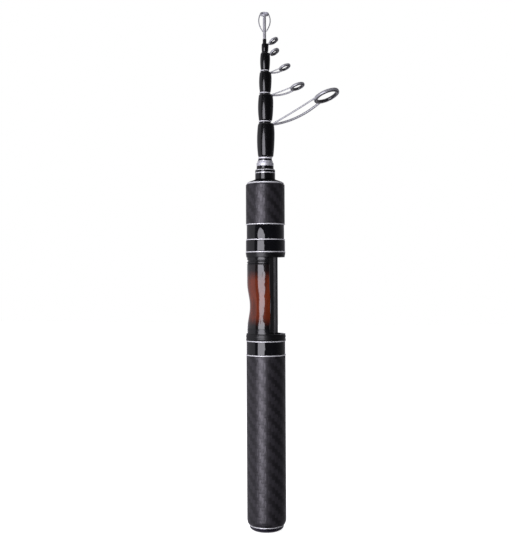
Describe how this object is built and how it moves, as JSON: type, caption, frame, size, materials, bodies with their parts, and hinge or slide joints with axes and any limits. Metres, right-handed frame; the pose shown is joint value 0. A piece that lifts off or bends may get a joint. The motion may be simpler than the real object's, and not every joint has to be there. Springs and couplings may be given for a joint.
{
  "type": "telescopic fishing rod",
  "caption": "Closed telescopic spinning rod with nested sections, line guides, a screw-locked reel seat, carbon grips and a screw-in butt cap.",
  "frame": {"origin": "middle of the flat face of the butt cap, on the rod's axis", "axes": "+Z along the rod from butt to tip, +X towards the reel deck and the line guides"},
  "size_m": [0.0762, 0.0318, 0.4159],
  "materials": {
    "carbon_weave": "matte dark carbon twill",
    "cork": "bare cork, hidden",
    "gloss_black": "gloss black epoxy and lacquer",
    "black_plastic": "satin black moulding",
    "polished_steel": "polished",
    "brushed_steel": "brushed",
    "sunburst": "lacquered orange-brown fading to black at both ends",
    "ring_ceramic": "dark polished ceramic",
    "rubber": "black rubber"
  },
  "bodies": {
    "handle": {"butt_blank": "gloss_black", "butt_bush": "brushed_steel", "rear_grip_shell": "carbon_weave", "rear_grip_core": "cork", "rear_ring_low": "polished_steel", "rear_collar": "gloss_black", "rear_ring_high": "polished_steel", "fixed_hood": "black_plastic", "seat_body": "black_plastic", "seat_insert": "sunburst", "winding_check": "polished_steel", "check_cone": "gloss_black", "butt_wrap": "gloss_black", "ferrule_band": "gloss_black", "ferrule": "brushed_steel"},
    "cap_ring": {"butt_trim_ring": "polished_steel"},
    "cap": {"butt_cap": "black_plastic", "cap_pad": "rubber"},
    "hood": {"hood_lip": "black_plastic", "hood_trim_ring": "polished_steel", "hood_collar": "gloss_black", "retaining_clip": "brushed_steel"},
    "nut": {"nut_ring_low": "polished_steel", "lock_nut": "gloss_black", "nut_ring_high": "polished_steel", "fore_grip_shell": "carbon_weave", "fore_grip_core": "cork"},
    "section_6": {"section_6_blank": "gloss_black", "section_6_trim": "polished_steel", "section_6_wrap": "gloss_black", "guide_6_frame": "polished_steel", "guide_6_ring": "ring_ceramic"},
    "section_5": {"section_5_blank": "gloss_black", "section_5_trim": "polished_steel", "section_5_wrap": "gloss_black", "guide_5_frame": "polished_steel", "guide_5_ring": "ring_ceramic"},
    "section_4": {"section_4_blank": "gloss_black", "section_4_trim": "polished_steel", "section_4_wrap": "gloss_black", "guide_4_frame": "polished_steel", "guide_4_ring": "ring_ceramic"},
    "section_3": {"section_3_blank": "gloss_black", "section_3_trim": "polished_steel", "section_3_wrap": "gloss_black", "guide_3_frame": "polished_steel", "guide_3_ring": "ring_ceramic"},
    "section_2": {"section_2_blank": "gloss_black", "section_2_wrap": "gloss_black", "guide_2_frame": "polished_steel", "guide_2_ring": "ring_ceramic"},
    "section_1": {"section_1_blank": "gloss_black", "section_1_wrap": "gloss_black", "tip_guide_frame": "polished_steel", "tip_guide_ring": "ring_ceramic"}
  },
  "joints": [
    {"name": "section_6_slide", "type": "slide", "parent": "handle", "child": "section_6", "axis": [0, 0, 1], "range_m": [0, 0.2115]},
    {"name": "section_5_slide", "type": "slide", "parent": "section_6", "child": "section_5", "axis": [0, 0, 1], "range_m": [0, 0.2463]},
    {"name": "section_4_slide", "type": "slide", "parent": "section_5", "child": "section_4", "axis": [0, 0, 1], "range_m": [0, 0.2732]},
    {"name": "section_3_slide", "type": "slide", "parent": "section_4", "child": "section_3", "axis": [0, 0, 1], "range_m": [0, 0.2951]},
    {"name": "section_2_slide", "type": "slide", "parent": "section_3", "child": "section_2", "axis": [0, 0, 1], "range_m": [0, 0.3114]},
    {"name": "section_1_slide", "type": "slide", "parent": "section_2", "child": "section_1", "axis": [0, 0, 1], "range_m": [0, 0.3239]},
    {"name": "hood_slide", "type": "slide", "parent": "handle", "child": "hood", "axis": [0, 0, -1], "range_m": [0, 0.0072]},
    {"name": "nut_turn", "type": "hinge", "parent": "hood", "child": "nut", "pos_m": [0, 0, 0.238], "axis": [0, 0, -1], "range_deg": [0, 720]},
    {"name": "cap_ring_slide", "type": "slide", "parent": "handle", "child": "cap_ring", "axis": [0, 0, -1], "range_m": [0, 0.0075]},
    {"name": "cap_turn", "type": "hinge", "parent": "cap_ring", "child": "cap", "pos_m": [0, 0, 0], "axis": [0, 0, -1], "range_deg": [0, 900]}
  ],
  "couplings": [
    {"joint": "hood_slide", "follows": "nut_turn", "m_per_rad": 0.00057296},
    {"joint": "cap_ring_slide", "follows": "cap_turn", "m_per_rad": 0.00047746}
  ]
}
